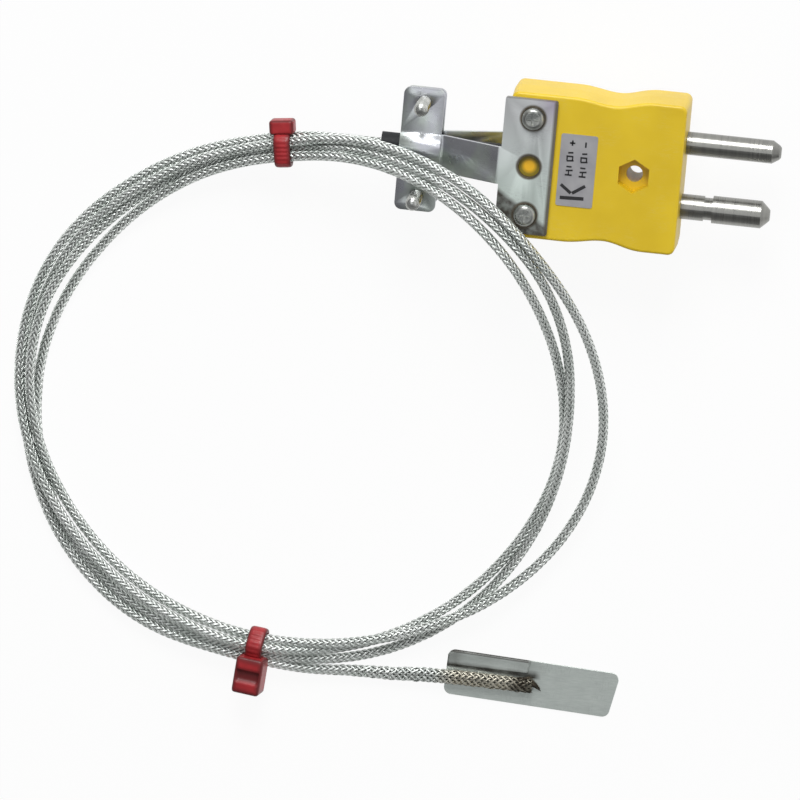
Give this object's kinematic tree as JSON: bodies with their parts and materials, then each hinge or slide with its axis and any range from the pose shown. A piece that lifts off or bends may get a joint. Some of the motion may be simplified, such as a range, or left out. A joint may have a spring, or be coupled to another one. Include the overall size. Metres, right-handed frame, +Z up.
{
  "type": "surface thermocouple",
  "caption": "Patch thermocouple: two-pin round-pin plug with a steel cable clamp, thin wire-braided lead wound in a coil held by two ties, and a flat steel sensor patch.",
  "frame": {"origin": "bottom centre of the plug with its clamp, on the surface that the object rests on", "axes": "+X along the contact pins, away from the lead; +Y towards the positive pin; +Z up, out of the plug's labelled face"},
  "size_m": [0.1287, 0.1138, 0.0226],
  "materials": {
    "body_plastic": "moulded glass-filled plastic, satin gloss, yellow",
    "label": "silver-grey printed foil",
    "pin_metal": "turned metal, polished",
    "screw_metal": "plated steel",
    "clamp_steel": "polished stainless sheet",
    "black_sleeve": "heat-shrink sleeving, satin black",
    "braid": "fine stainless wire braid",
    "core_green": "lacquered fibre sleeving",
    "core_white": "lacquered fibre sleeving",
    "conductor": "bare alloy wire",
    "tie_nylon": "red nylon",
    "patch_steel": "thin stainless sheet, satin"
  },
  "bodies": {
    "root": {"lower_shell": "body_plastic", "upper_shell": "body_plastic", "label_plate": "label", "positive_pin": "pin_metal", "negative_pin": "pin_metal", "terminal_washers": "screw_metal", "terminal_screws": "screw_metal", "upper_bracket": "clamp_steel", "lower_bracket": "clamp_steel", "bracket_screws": "screw_metal", "bracket_nuts": "screw_metal", "clamp_screws": "screw_metal", "clamp_packing": "black_sleeve", "heat_shrink_sleeve": "black_sleeve", "lead_in_clamp": "braid", "positive_core": "core_green", "negative_core": "core_white", "positive_conductor": "conductor", "negative_conductor": "conductor", "lead_start": "braid", "lead_coil": "braid", "lead_tail": "braid", "top_tie": "tie_nylon", "bottom_tie": "tie_nylon", "braid_end": "braid", "junction_bead": "conductor", "sensor_patch": "patch_steel"}
  },
  "joints": []
}
